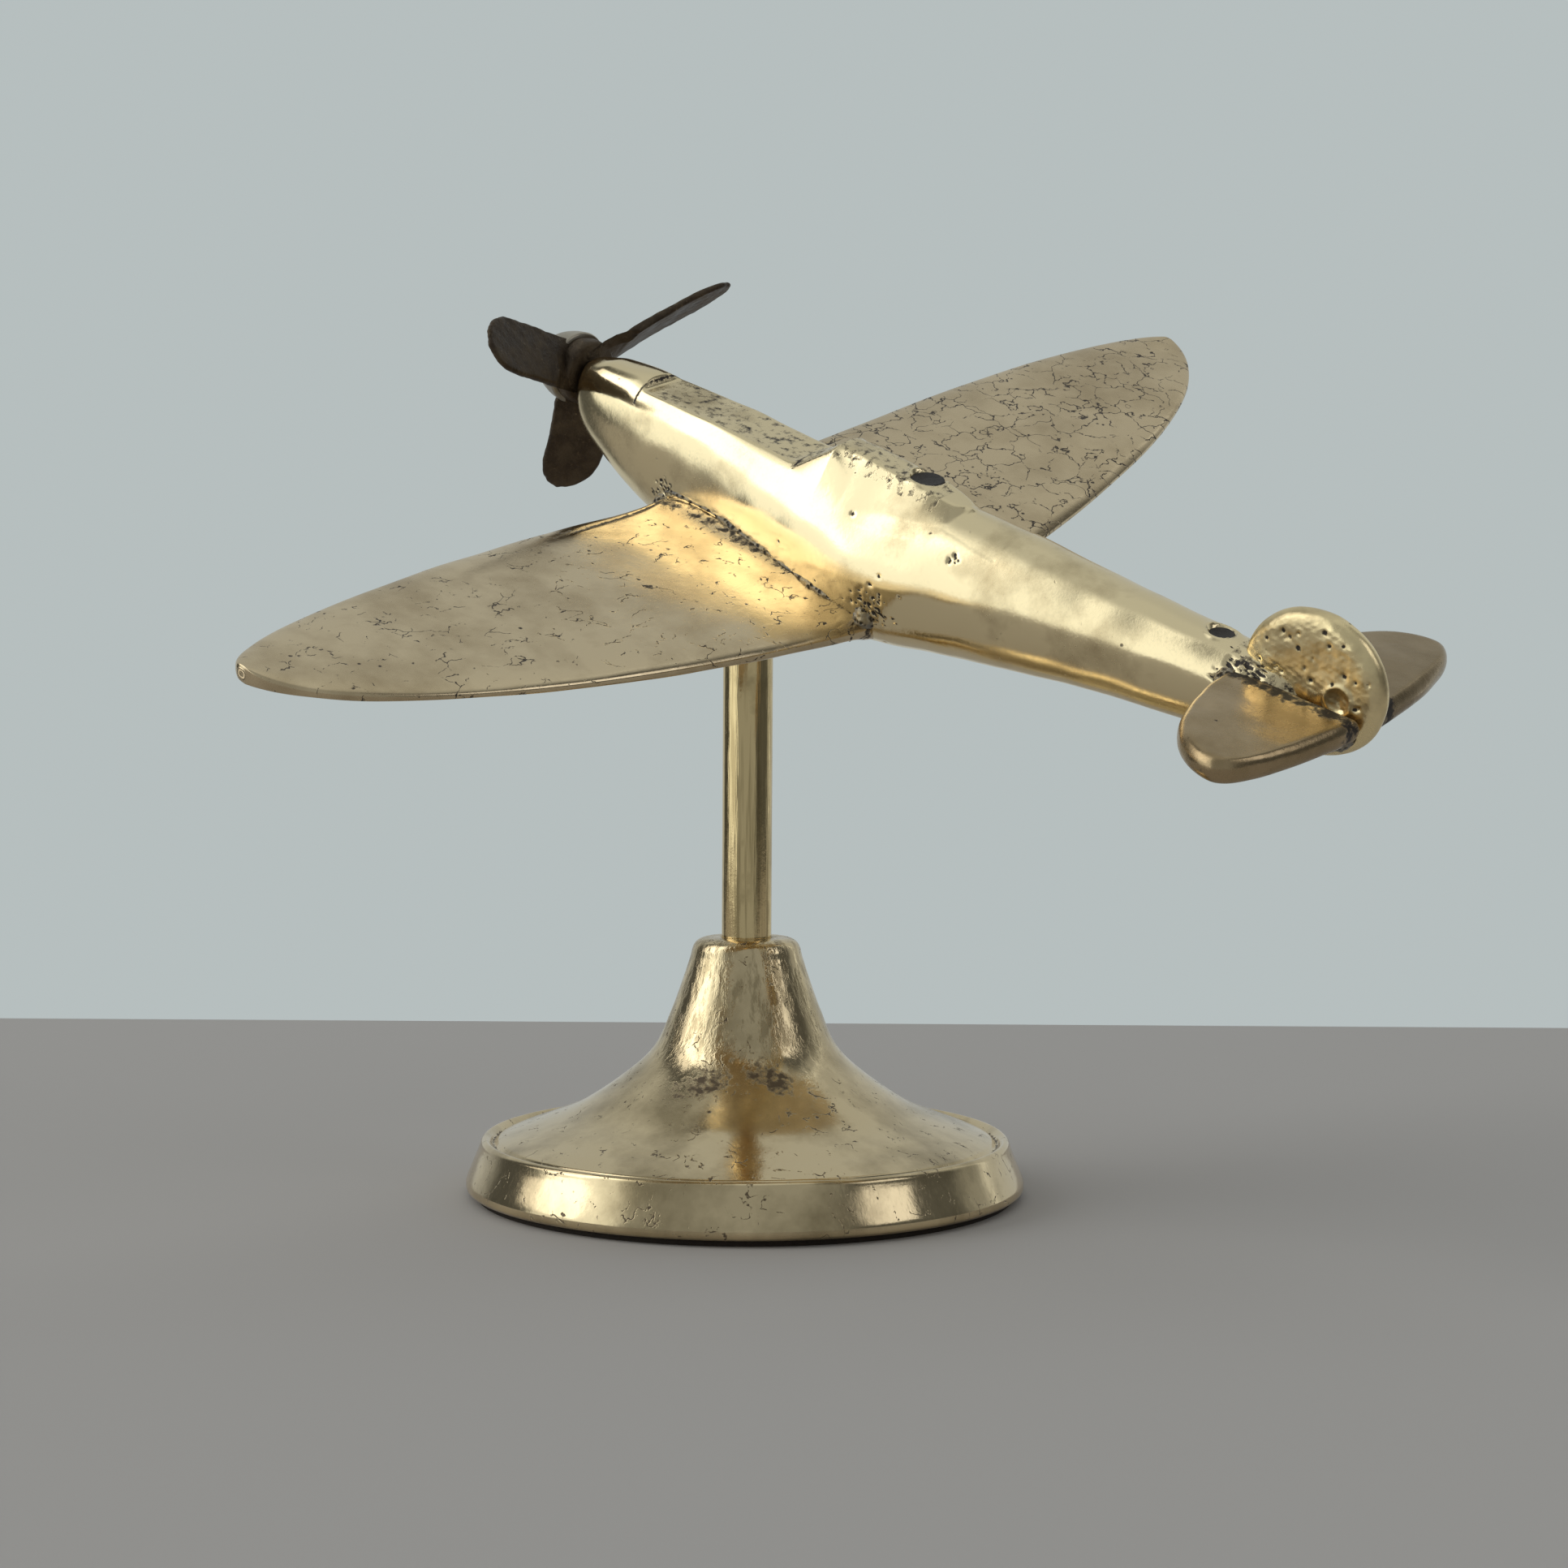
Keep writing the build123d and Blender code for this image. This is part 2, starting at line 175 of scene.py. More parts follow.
def brass(name, bright=(0.77, 0.62, 0.38), dull=(0.50, 0.39, 0.22), dull_share=0.35, smooth=0.16,
          rough=0.34, tarnish_and_painted_shade=(0.035, 0.025, 0.018), cracks=0.0, specks=0.35, stretch=(1, 1, 1),
          grain=0.12, mark=None, lay=((1.0, 0.12, 1.0), (0.3, 0.2, 0.5)), streaks=0.0):
    """Old polished brass: bright metal with duller clouds, hairline scratches, fine dark specks
    and a net of hairline cracks. mark names an attribute that is 1 where the metal is dark, lay
    stretches and turns the scratches, and streaks is how much duller stripes lie the same way,
    above the bell's foot."""
    material, tree, place, shader = new_material(name)
    clouds = add(tree, "TexNoise", {"Vector": place, "Scale": 70, "Detail": 5, "Roughness": 0.6})
    fine = add(tree, "TexNoise", {"Vector": place, "Scale": 700, "Detail": 4, "Roughness": 0.65})
    worn = ramp(tree, clouds.outputs["Fac"], 0.62 - dull_share * 0.5, 0.80 - dull_share * 0.3)
    if streaks > 0:
        long_place = add(tree, "Mapping", {"Vector": place, "Scale": lay[0], "Rotation": lay[1]}).outputs[0]
        stripes = add(tree, "TexNoise", {"Vector": long_place, "Scale": 520, "Detail": 4, "Roughness": 0.7})
        stripe = ramp(tree, stripes.outputs["Fac"], 0.46, 0.60, 0, streaks)
        height = add(tree, "SeparateXYZ", {0: place}).outputs[2]
        stripe = calc(tree, "MULTIPLY", stripe, ramp(tree, height, 0.018, 0.026))
        worn = calc(tree, "MAXIMUM", worn, stripe)
    colour = blend_colours(tree, worn, bright, dull)

    pulled = add(tree, "Mapping", {"Vector": place, "Scale": stretch}).outputs[0]
    shift = add(tree, "TexNoise", {"Vector": place, "Scale": 160, "Detail": 4})
    bent = add(tree, "VectorMath", {0: shift.outputs["Color"], 1: (0.011, 0.011, 0.011)},
               operation="MULTIPLY").outputs[0]
    bent = add(tree, "VectorMath", {0: pulled, 1: bent}, operation="ADD").outputs[0]
    net = add(tree, "TexVoronoi", {"Vector": bent, "Scale": 210, "Randomness": 1.0},
              feature="DISTANCE_TO_EDGE").outputs["Distance"]
    lines = ramp(tree, net, 0.010, 0.030, 1, 0)
    where = add(tree, "TexNoise", {"Vector": place, "Scale": 230, "Detail": 4, "Roughness": 0.75})
    crazed = ramp(tree, where.outputs["Fac"], 0.62 - cracks * 0.2, 0.66 - cracks * 0.18)
    lines = calc(tree, "MULTIPLY", lines, crazed)
    dots = add(tree, "TexVoronoi", {"Vector": place, "Scale": 520}).outputs["Distance"]
    sparse = add(tree, "TexNoise", {"Vector": place, "Scale": 260, "Detail": 2})
    spots = calc(tree, "MULTIPLY", ramp(tree, dots, 0.10, 0.20, 1, 0),
                 ramp(tree, sparse.outputs["Fac"], 0.72 - specks * 0.2, 0.76 - specks * 0.2))
    dark = calc(tree, "MAXIMUM", lines if cracks > 0 else spots, spots)
    # The mark darkens the metal to the dark colour given: real pits, cracks and seams on most pieces, and on
    # the fuselage also painted shade and a painted dark reflection.
    if mark:
        marked = add(tree, "Attribute", attribute_name=mark).outputs["Fac"]
        ragged = calc(tree, "ADD", marked, ramp(tree, fine.outputs["Fac"], 0.3, 0.7, -0.35, 0.35))
        dark = calc(tree, "MAXIMUM", dark, ramp(tree, ragged, 0.42, 0.70))
    colour = blend_colours(tree, dark, colour, tarnish_and_painted_shade)

    scratch_place = add(tree, "Mapping", {"Vector": place, "Scale": lay[0], "Rotation": lay[1]}).outputs[0]
    scratches = add(tree, "TexNoise", {"Vector": scratch_place, "Scale": 2600, "Detail": 2})
    polish = ramp(tree, clouds.outputs["Fac"], 0.35, 0.70, smooth, rough)
    polish = calc(tree, "ADD", polish, ramp(tree, scratches.outputs["Fac"], 0.5, 0.8, 0, 0.10))
    polish = calc(tree, "ADD", polish, calc(tree, "MULTIPLY", dark, 0.3))
    relief = calc(tree, "ADD", calc(tree, "MULTIPLY", fine.outputs["Fac"], grain),
                  calc(tree, "MULTIPLY", scratches.outputs["Fac"], 0.02))
    relief = calc(tree, "SUBTRACT", relief, calc(tree, "MULTIPLY", dark, 0.25))
    if streaks > 0:
        polish = calc(tree, "ADD", polish, calc(tree, "MULTIPLY", stripe, 0.12))
        relief = calc(tree, "SUBTRACT", relief, calc(tree, "MULTIPLY", stripe, 0.25))
    bump = add(tree, "Bump", {"Height": relief, "Strength": 0.35, "Distance": 0.0004})
    tree.links.new(colour, shader.inputs["Base Color"])
    tree.links.new(polish, shader.inputs["Roughness"])
    tree.links.new(ramp(tree, dark, 0, 1, 1, 0.25), shader.inputs["Metallic"])
    tree.links.new(bump.outputs[0], shader.inputs["Normal"])
    return material


def dress(piece, material, body, *nodes):
    """Give a piece its material and its body, and let it stand for CAD nodes."""
    piece.data.materials.append(material)
    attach(piece, body)
    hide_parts(*nodes)


flare = [(8.9, 38.0), (9.9, 34.9), (11.8, 29.6), (14.6, 23.5), (19.3, 19.0), (26.6, 14.1), (33.0, 11.4),
         (36.5, 10.1), (39.3, 9.0)]
rim = [(39.3, 9.0), (39.9, 8.35), (40.3, 8.3), (40.7, 8.8), (41.4, 9.2), (42.0, 8.8), (42.25, 8.1),
       (42.6, 7.1), (43.5, 4.9), (44.3, 2.9), (44.45, 2.2), (44.4, 1.5), (43.9, 1.02)]
inside = [(43.9, 1.02), (42.2, 1.01), (40.8, 1.05), (39.8, 4.8), (31.0, 8.6), (22.6, 12.4), (14.4, 18.6),
          (9.0, 21.0), (4.2, 21.0), (4.05, 30.0), (4.0, 40.7)]
crown = [(4.0, 40.7), (4.3, 40.96), (5.6, 40.99), (6.9, 40.84), (7.9, 40.34), (8.5, 39.5), (8.9, 38.0)]
outline = np.vstack([through(flare, 12)[:-1], through(rim, 5)[:-1], through(inside, 4)[:-1],
                     through(crown, 6)[:-1]])
bell_rings = turned(outline, 288)
turn = np.linspace(0, 2 * np.pi, 288, endpoint=False)
bell_height = bell_rings[:, :, 2]
bell_push = 0.035 * wander(bell_rings, 9, 3) + 0.05 * wander(bell_rings, 26, 4)
bell_push[(bell_height < 1.3) | (bell_height > 40.5)] = 0
radial = bell_rings * [1, 1, 0]
radial /= np.linalg.norm(radial, axis=2, keepdims=True)
bell_rings = bell_rings + radial * np.minimum(bell_push, 0)[:, :, None]
# Tarnish that polishing has missed: a ragged belt round the foot of the bell, thickest at the back
# port side, and the bottom of the groove.
belt = np.exp(-((bell_height - 19.0 - 2.2 * np.sin(3 * turn + 1)) / 3.2) ** 2)
belt *= 0.25 + 0.45 * np.exp(-((turn - 1.9) / 0.22) ** 2) + 0.45 * np.exp(-((turn - 2.5) / 0.20) ** 2)
groove = np.exp(-((np.linalg.norm(bell_rings[:, :, :2], axis=2) - 40.15) / 0.3) ** 2) * (bell_height > 7)
bell = skin("base_bell_skin", bell_rings, closed_loop=True, dark=np.maximum(belt, 0.7 * groove))
bell_brass = brass("bell_brass", dull=(0.42, 0.33, 0.19), smooth=0.09, rough=0.22, streaks=0.9, cracks=0.35,
                   lay=((1, 1, 0.05), (0, 0, 0)), mark="dark", tarnish_and_painted_shade=(0.13, 0.09, 0.05))
dress(bell, bell_brass, "stand", "base_bell")


# ---- Felt ----
# A disc of dark wool felt, cut a little smaller than the rim and glued under it, so that the brass
# doesn't mark the table. Its near-black colour is partly painted shade: it stands for the thin dark
# line of contact shade under the rim.

def plain_dark(name, colour, rough):
    """Dull fibrous or dirty surface: one colour broken by fine noise."""
    material, tree, place, shader = new_material(name)
    fuzz = add(tree, "TexNoise", {"Vector": place, "Scale": 1500, "Detail": 5, "Roughness": 0.7})
    shade = blend_colours(tree, fuzz.outputs["Fac"], [0.5 * c for c in colour], [1.6 * c for c in colour])
    tree.links.new(shade, shader.inputs["Base Color"])
    shader.inputs["Roughness"].default_value = rough
    bump = add(tree, "Bump", {"Height": fuzz.outputs["Fac"], "Strength": 0.5, "Distance": 0.0005})
    tree.links.new(bump.outputs[0], shader.inputs["Normal"])
    return material


def finish_node(node, material):
    """Give a CAD node a material in all its slots."""
    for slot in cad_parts[node].material_slots:
        slot.material = material


# The felt's near-black colour is partly painted shade: the thin dark line under the rim.
finish_node("base_felt", plain_dark("felt", (0.030, 0.022, 0.016), 0.95))


# ---- Post ----
# Plain drawn brass rod, turned down and threaded at its lower end. It stands in the bell, where a
# nut and a washer under the web hold it, and its upper end goes into the belly.

post_radius, tenon_radius = 3.97, 2.4
rod = [(post_radius, z) for z in np.linspace(28, 107.6, 60)]
post_profile = [(tenon_radius, 14.6), (tenon_radius, 26.9), (post_radius, 27.0), (post_radius, 27.3), *rod,
                (3.9, 107.9), (3.5, 108.35)]
post = skin("post_rod", turned(post_profile, 96))
rod_brass = brass("rod_brass", bright=(0.80, 0.62, 0.33), dull=(0.30, 0.22, 0.10), dull_share=0.2,
                  smooth=0.04, rough=0.09, lay=((1, 1, 0.04), (0, 0, 0)), streaks=0.6)
dress(post, rod_brass, "stand", "post")
for node in ("post_nut", "post_washer"):
    finish_node(node, brass(node + "_brass", dull_share=0.6, smooth=0.3, rough=0.5))


# ---- Fuselage ----
# One solid brass casting, filed and polished: a blunt nose, a cowling with a flat top, a canopy
# with a sloping windscreen and flat panes, and a spine that tapers to the tail.

flight_height, nose_up, bank = 105.8, np.radians(20), np.radians(18)
pitch_turn = np.array([[np.cos(nose_up), 0, -np.sin(nose_up)], [0, 1, 0],
                       [np.sin(nose_up), 0, np.cos(nose_up)]])
bank_turn = np.array([[1, 0, 0], [0, np.cos(bank), np.sin(bank)], [0, -np.sin(bank), np.cos(bank)]])
attitude = pitch_turn @ bank_turn


def in_flight(points):
    """Turn points from the aeroplane's own frame, x forward and y to port, into its banked climb."""
    return points @ attitude.T + [0, 0, flight_height]


def pits(points, centres, radii, depths):
    """Depth of round pits at each point, and how dark it is there: each pit is a bell curve of the
    distance from its centre."""
    depth, dark = np.zeros(points.shape[:-1]), np.zeros(points.shape[:-1])
    for centre, radius, deep in zip(centres, radii, depths):
        near = np.exp(-((points - centre) ** 2).sum(axis=-1) / radius**2)
        depth += deep * near
        dark = np.maximum(dark, near)
    return depth, dark


lower_power = 2.3
# Each station: x, half width, underside z, top z, and the power of the upper half's section.
stations = np.array([
    (36.6, 3.0, 9.8, 17.0, 2.3), (36.1, 4.0, 8.0, 17.8, 2.3), (34.4, 5.1, 5.8, 18.4, 2.3),
    (30.5, 6.0, 3.2, 19.0, 2.3), (20.0, 7.0, -2.2, 19.2, 2.6), (5.0, 7.8, -6.1, 19.0, 2.7),
    (-10.0, 9.4, -8.5, 17.9, 2.4), (-30.0, 11.5, -7.0, 18.8, 1.6), (-50.0, 9.9, -3.2, 18.2, 1.8),
    (-70.0, 7.8, 0.1, 16.9, 2.1), (-90.0, 5.9, 2.2, 15.9, 2.3), (-99.0, 5.0, 3.3, 15.3, 2.3),
    (-103.0, 4.2, 4.4, 14.4, 2.3), (-105.0, 3.2, 5.6, 12.6, 2.3)])


def station_slopes():
    """Slope of each value at each station, from its neighbours."""
    before = np.vstack([stations[:1], stations[:-1]])
    after = np.vstack([stations[1:], stations[-1:]])
    return (after[:, 1:] - before[:, 1:]) / (after[:, :1] - before[:, :1])


def fuselage_at(x):
    """Half width, underside, top and upper power at each x: a cubic between stations."""
    gap = np.clip(np.searchsorted(-stations[:, 0], -x, side="right") - 1, 0, len(stations) - 2)
    here, there, slopes = stations[gap], stations[gap + 1], station_slopes()
    length = (there[:, 0] - here[:, 0])[:, None]
    t = ((x - here[:, 0]) / length[:, 0])[:, None]
    values = (2 * t**3 - 3 * t**2 + 1) * here[:, 1:] + (3 * t**2 - 2 * t**3) * there[:, 1:]
    values += length * ((t**3 - 2 * t**2 + t) * slopes[gap] + (t**3 - t**2) * slopes[gap + 1])
    return values.T


def step_up(value, width):
    """Smooth step from 0 to 1 as a value passes 0: half of 1 plus its hyperbolic tangent."""
    return 0.5 * (1 + np.tanh(value / (2 * width)))


def soft_max(first, second, width):
    """The larger of two values, rounded over width where they cross."""
    return 0.5 * (first + second + np.sqrt((first - second) ** 2 + width**2))


length_steps = np.concatenate([36.6 - 2.2 * (1 - np.cos(np.linspace(0, np.pi / 2, 14)))[:-1],
                               np.linspace(34.4, -56, 276)[:-1], np.linspace(-56, -105, 90)])
half_width, underside, top, upper_power = fuselage_at(length_steps)
middle, half_height = ((top + underside) / 2)[:, None], ((top - underside) / 2)[:, None]
angle = np.linspace(0, 2 * np.pi, 256, endpoint=False)
across, up = np.cos(angle)[None, :], np.sin(angle)[None, :]
x = length_steps[:, None]
power = np.where(up > 0, upper_power[:, None], lower_power)
reach = (np.abs(across) / half_width[:, None]) ** power + (np.abs(up) / half_height) ** power
reach = reach ** (-1 / power)

# The top of the cowling is filed flat, from a step behind the nose's rounded cap.
flat = np.interp(-x, [-21.5, -5.0, 13.5], [18.0, 17.8, 16.7])
flat = flat + 3 * step_up(x - 21.5, 0.22) + 3 * step_up(-13.8 - x, 0.5)
reach = -soft_max(-reach, -(flat - middle) / np.maximum(up, 0.05), 0.10)
cap = np.exp(-(((x - 27.0) / 5.2) ** 6)) * np.exp(-((across / 0.55) ** 4)) * (up > 0)
reach = reach + 0.30 * cap

# The canopy's flat panes run down from the edges of its roof to where they touch the rounded
# skin. The windscreen slopes up to a narrow brow, and behind it the roof's edges drop and spread.
frame_behind = [12.3, 19.5, 24.5, 38.0, 54.0]
ridge = np.interp(-x, frame_behind, [16.5, 21.6, 21.4, 20.1, 17.2]) - middle
ridge_half = np.interp(-x, frame_behind, [2.0, 2.2, 2.4, 3.4, 1.6])
edge = np.interp(-x, frame_behind, [16.3, 20.9, 18.0, 17.2, 15.6]) - middle
edge_half = np.interp(-x, frame_behind, [4.9, 3.6, 5.0, 4.9, 4.2])
skin_across, skin_up = np.abs(across) * reach, up * reach
below_edge = (edge - skin_up > 0.3) & (up > 0)
splay = np.where(below_edge, (skin_across - edge_half) / np.where(below_edge, edge - skin_up, 1), -9)
widest = splay.max(axis=1, keepdims=True)
touch_up = np.take_along_axis(skin_up, splay.argmax(axis=1)[:, None], axis=1)
pane = (edge_half + widest * edge) / np.maximum(np.abs(across) + widest * up, 0.01)
roof_lean = (edge_half - ridge_half) / np.maximum(ridge - edge, 0.05)
slope_reach = (ridge_half + roof_lean * ridge) / np.maximum(np.abs(across) + roof_lean * up, 0.01)
canopy = -soft_max(-ridge / np.maximum(up, 0.05), -slope_reach, 0.5)
canopy = -soft_max(-canopy, -pane, 0.16)
on_canopy = (skin_up > touch_up) & (x < -frame_behind[0]) & (x > -frame_behind[-1])
reach = np.where(on_canopy, soft_max(reach, canopy, 0.12) - 0.04, reach)

hull = np.stack([x + 0 * reach, reach * across, middle + reach * up], axis=2)
hull_out = outward(hull)
# Pits left by the mould and the solder: round each place, how far they spread and how many.
rng = np.random.default_rng(5)
spots = [((12.5, 7.2, 5.0), 2.8, 40), ((-35.5, 10.8, 2.6), 3.8, 90), ((-47.5, 7.0, 14.0), 1.2, 9),
         ((-95.5, 4.2, 12.0), 4.0, 50), ((-98.0, 3.6, 14.5), 3.0, 40), ((-20.0, 10.0, 8.0), 16.0, 9)]
pit_centres = np.vstack([rng.normal(place, spread / 2, (number, 3)) for place, spread, number in spots])
near_skin = np.array([np.argmin(((hull - centre) ** 2).sum(axis=2)) for centre in pit_centres])
pit_centres = hull.reshape(-1, 3)[near_skin]
wide = rng.uniform(0.18, 0.36, len(pit_centres))
depth, dark = pits(hull, pit_centres, wide, 0.5 * wide)
push = 0.05 * wander(hull, 9, 11) + 0.08 * wander(hull, 24, 12) - np.minimum(depth, 0.4)
# The two plugs' holes, x, y and radius, each with a raised rim.
plug_holes = {"front": (-34.8, -0.8, 2.6), "rear": (-89.5, -0.4, 1.9)}
for hole_x, hole_y, radius in plug_holes.values():
    from_hole = np.hypot(hull[:, :, 0] - hole_x, hull[:, :, 1] - hole_y)
    on_top = hull[:, :, 2] > middle
    push += 0.22 * np.exp(-(((from_hole - radius - 0.35) / 0.45) ** 2)) * on_top
    push -= 1.2 * step_up(radius - 0.15 - from_hole, 0.12) * on_top
# Painted shade in the windscreen's foot and the step behind the nose's cap, a painted dark reflection on the
# filed flat, and darker skin beside the fin.
foot = np.exp(-((hull[:, :, 0] + 13.4) / 0.45) ** 2) * (np.abs(hull[:, :, 1]) < 5.5) * (hull[:, :, 2] > 15)
cap_step_shade = np.exp(-((hull[:, :, 0] - 21.2) / 0.35) ** 2) * (hull[:, :, 2] > 16)
dark = np.maximum(dark, 0.75 * np.maximum(foot, cap_step_shade))
# Painted dark reflection of the room on the filed flat; beside the fin the skin is darker too.
filed = (hull[:, :, 2] > 16.2) & (np.abs(hull[:, :, 1]) < 4.2) & (hull[:, :, 0] > -40) & (hull[:, :, 0] < 20)
by_fin = (hull[:, :, 0] < -93) & (np.abs(hull[:, :, 1]) < 4.0) & (hull[:, :, 2] > 10)
dark = np.maximum(dark, 0.40 * filed + 0.46 * by_fin)
hull = hull + hull_out * push[:, :, None]
fuselage = skin("fuselage_casting", in_flight(hull), dark=dark)
fuselage_brass = brass("fuselage_brass", bright=(0.91, 0.75, 0.46), dull_share=0.2, smooth=0.11, rough=0.26,
                       specks=0.25, mark="dark")
dress(fuselage, fuselage_brass, "airframe", "fuselage")


# ---- Wings ----
# Two thick flat castings with round edges, each an oval in plan, let into the fuselage's sides at
# a small angle. Their lacquer has crazed and gone dark along the cracks.

half_span, wing_root = 102.15, 6.2
widest_x, chord_ahead, chord_behind = -3.6, 16.3, 31.3
power_ahead, power_behind, section_power = 1.97, 1.79, 2.9
thick_at_root, thick_at_tip = 5.2, 2.6
dihedral, incidence = np.radians(5.44), np.radians(5.0)
sides = ((1, "port"), (-1, "starboard"))


def chords(t):
    """Chord ahead of and behind the line of the greatest span, at each share t of the half span:
    two power ovals."""
    return chord_ahead * np.sqrt(1 - t**power_ahead), chord_behind * np.sqrt(1 - t**power_behind)


def root_fillet(y):
    """Height by which each face of a wing sweeps out to the fuselage at its root: it dies away
    along the span."""
    return 1.7 * np.exp(-((np.maximum(y - 8.2, 0) / 2.8) ** 1.5))


def wing_shape(side, spanwise=210, around=168):
    """Rings from root to tip. At each reach t along the span the chord is two power-oval
    quadrants, and the section is a superellipse."""
    t = wing_root / half_span + (1 - wing_root / half_span) * np.sin(np.linspace(0, np.pi / 2, spanwise))
    t = np.minimum(t, 0.9993)[:, None]
    ahead, behind = chords(t)
    thick = np.minimum(thick_at_root + (thick_at_tip - thick_at_root) * t, 0.9 * (ahead + behind))
    angle = np.linspace(0, 2 * np.pi, around, endpoint=False)[None, :]
    bulge = 2 / section_power
    along = (ahead + behind) / 2 * np.sign(np.cos(angle)) * np.abs(np.cos(angle)) ** bulge
    up = thick / 2 * np.sign(np.sin(angle)) * np.abs(np.sin(angle)) ** bulge
    y = half_span * t + 0 * along
    up = up * (1 + 2 * root_fillet(y) / thick)
    x, z = widest_x + (ahead - behind) / 2 + along, np.tan(dihedral) * y + up
    forward = x * np.cos(incidence) - z * np.sin(incidence)
    height = x * np.sin(incidence) + z * np.cos(incidence)
    return np.stack([forward, side * y, height], axis=2)


# Each wing: how much its lacquer has cracked, its bright colour, and how its cracks are stretched.
wing_finishes = {"port": (0.45, (0.76, 0.61, 0.39), (1.5, 0.8, 1.2)),
                 "starboard": (0.9, (0.72, 0.57, 0.36), (1, 1, 1))}
for side, name in sides:
    wing = wing_shape(side)
    out = outward(wing)
    push = 0.07 * wander(wing, 14, 20 + side) + 0.12 * wander(wing, 40, 30 + side)
    span_share = np.abs(wing[:, :, 1]) / half_span
    push = (push - 0.12) * np.clip((1 - span_share) / 0.05, 0, 1)
    seam = np.exp(-((np.abs(wing[:, :, 1]) - 9.8) / 1.8) ** 2) * 0.52
    # A dark crease runs along the top of the leading edge, from the root to a third of the span.
    leading_x = chords(span_share)[0] + widest_x
    crease = np.exp(-((wing[:, :, 0] - leading_x + 1.0 + 9 * span_share) / 0.42) ** 2)
    crease = crease * (out[:, :, 2] > 0.3)
    crease = crease * np.clip((0.36 - span_share) / 0.10, 0, 1)
    seam = np.maximum(seam, 0.9 * crease)
    push = push - 0.15 * crease
    piece = skin("wing_" + name + "_casting", in_flight(wing + out * push[:, :, None]), dark=seam)
    cracks, bright, stretch = wing_finishes[name]
    wing_brass = brass("wing_brass_" + name, bright=bright, dull=(0.52, 0.40, 0.24), cracks=cracks,
                       stretch=stretch, specks=0.5, smooth=0.13, rough=0.27, tarnish_and_painted_shade=(0.05, 0.035, 0.024),
                       mark="dark")
    dress(piece, wing_brass, "airframe", "wing_" + name)


# ---- Solder ----
# Hard solder that holds the wings in their pockets: a lump at the front and the back of each root,
# and a rough pitted run along the seam above and below.

def tube(path, radius, around=20):
    """Rings round a path: each ring is a circle in the plane across the path's own direction."""
    ahead = np.gradient(path, axis=0)
    ahead /= np.linalg.norm(ahead, axis=1, keepdims=True)
    first = np.cross(ahead, [0, 0.2, 1.0])
    first /= np.linalg.norm(first, axis=1, keepdims=True)
    second = np.cross(ahead, first)
    turn = np.linspace(0, 2 * np.pi, around, endpoint=False)[None, :, None]
    radius = np.broadcast_to(radius, len(path))[:, None, None]
    return path[:, None] + radius * (np.cos(turn) * first[:, None] + np.sin(turn) * second[:, None])


def lump(centre, radius, seed):
    """Rings of a ball from pole to pole, pushed in and out by rough noise."""
    tilt = np.linspace(0.03, np.pi - 0.03, 70)[:, None]
    turn = np.linspace(0, 2 * np.pi, 120, endpoint=False)[None, :]
    ball = [np.sin(tilt) * np.cos(turn), np.sin(tilt) * np.sin(turn), np.cos(tilt) + 0 * turn]
    ball = np.stack(ball, axis=2)
    rough = 0.10 * wander(ball * radius, 2.2, seed) + 0.05 * wander(ball * radius, 0.8, seed + 1)
    size = radius * (1 + rough)
    return np.array(centre) + ball * size[:, :, None]


def rough_solder(name, base=(0.50, 0.40, 0.24), grey=(0.30, 0.29, 0.27)):
    """Cast-looking solder: dull brass broken by grey metal and black pits."""
    material, tree, place, shader = new_material(name)
    coarse = add(tree, "TexNoise", {"Vector": place, "Scale": 420, "Detail": 6, "Roughness": 0.7})
    coarse = coarse.outputs["Fac"]
    holes = add(tree, "TexVoronoi", {"Vector": place, "Scale": 1100}).outputs["Distance"]
    hole = ramp(tree, holes, 0.22, 0.42, 1, 0)
    colour = blend_colours(tree, ramp(tree, coarse, 0.40, 0.62), base, grey)
    colour = blend_colours(tree, hole, colour, (0.03, 0.022, 0.018))
    relief = calc(tree, "SUBTRACT", coarse, calc(tree, "MULTIPLY", hole, 0.6))
    bump = add(tree, "Bump", {"Height": relief, "Strength": 0.8, "Distance": 0.0008})
    tree.links.new(colour, shader.inputs["Base Color"])
    tree.links.new(ramp(tree, coarse, 0.3, 0.7, 0.30, 0.6), shader.inputs["Roughness"])
    tree.links.new(ramp(tree, hole, 0, 1, 1, 0.2), shader.inputs["Metallic"])
    tree.links.new(bump.outputs[0], shader.inputs["Normal"])
    return material


def joined(name, pieces):
    """Join several meshes into one piece."""
    with bpy.context.temp_override(active_object=pieces[0], selected_editable_objects=pieces):
        bpy.ops.object.join()
    pieces[0].name = name
    return pieces[0]


def wing_surface(side, x, y, over):
    """Height of the wing's top (over = 1) or underside (over = -1) at a place on the plan."""
    t = y / half_span
    ahead, behind = chords(t)
    u = np.clip(np.abs(x - widest_x - (ahead - behind) / 2) / ((ahead + behind) / 2), 0, 0.999)
    thick = thick_at_root + (thick_at_tip - thick_at_root) * t
    up = over * thick / 2 * (1 - u**section_power) ** (1 / section_power)
    return np.tan(dihedral) * y + up + x * np.tan(incidence)


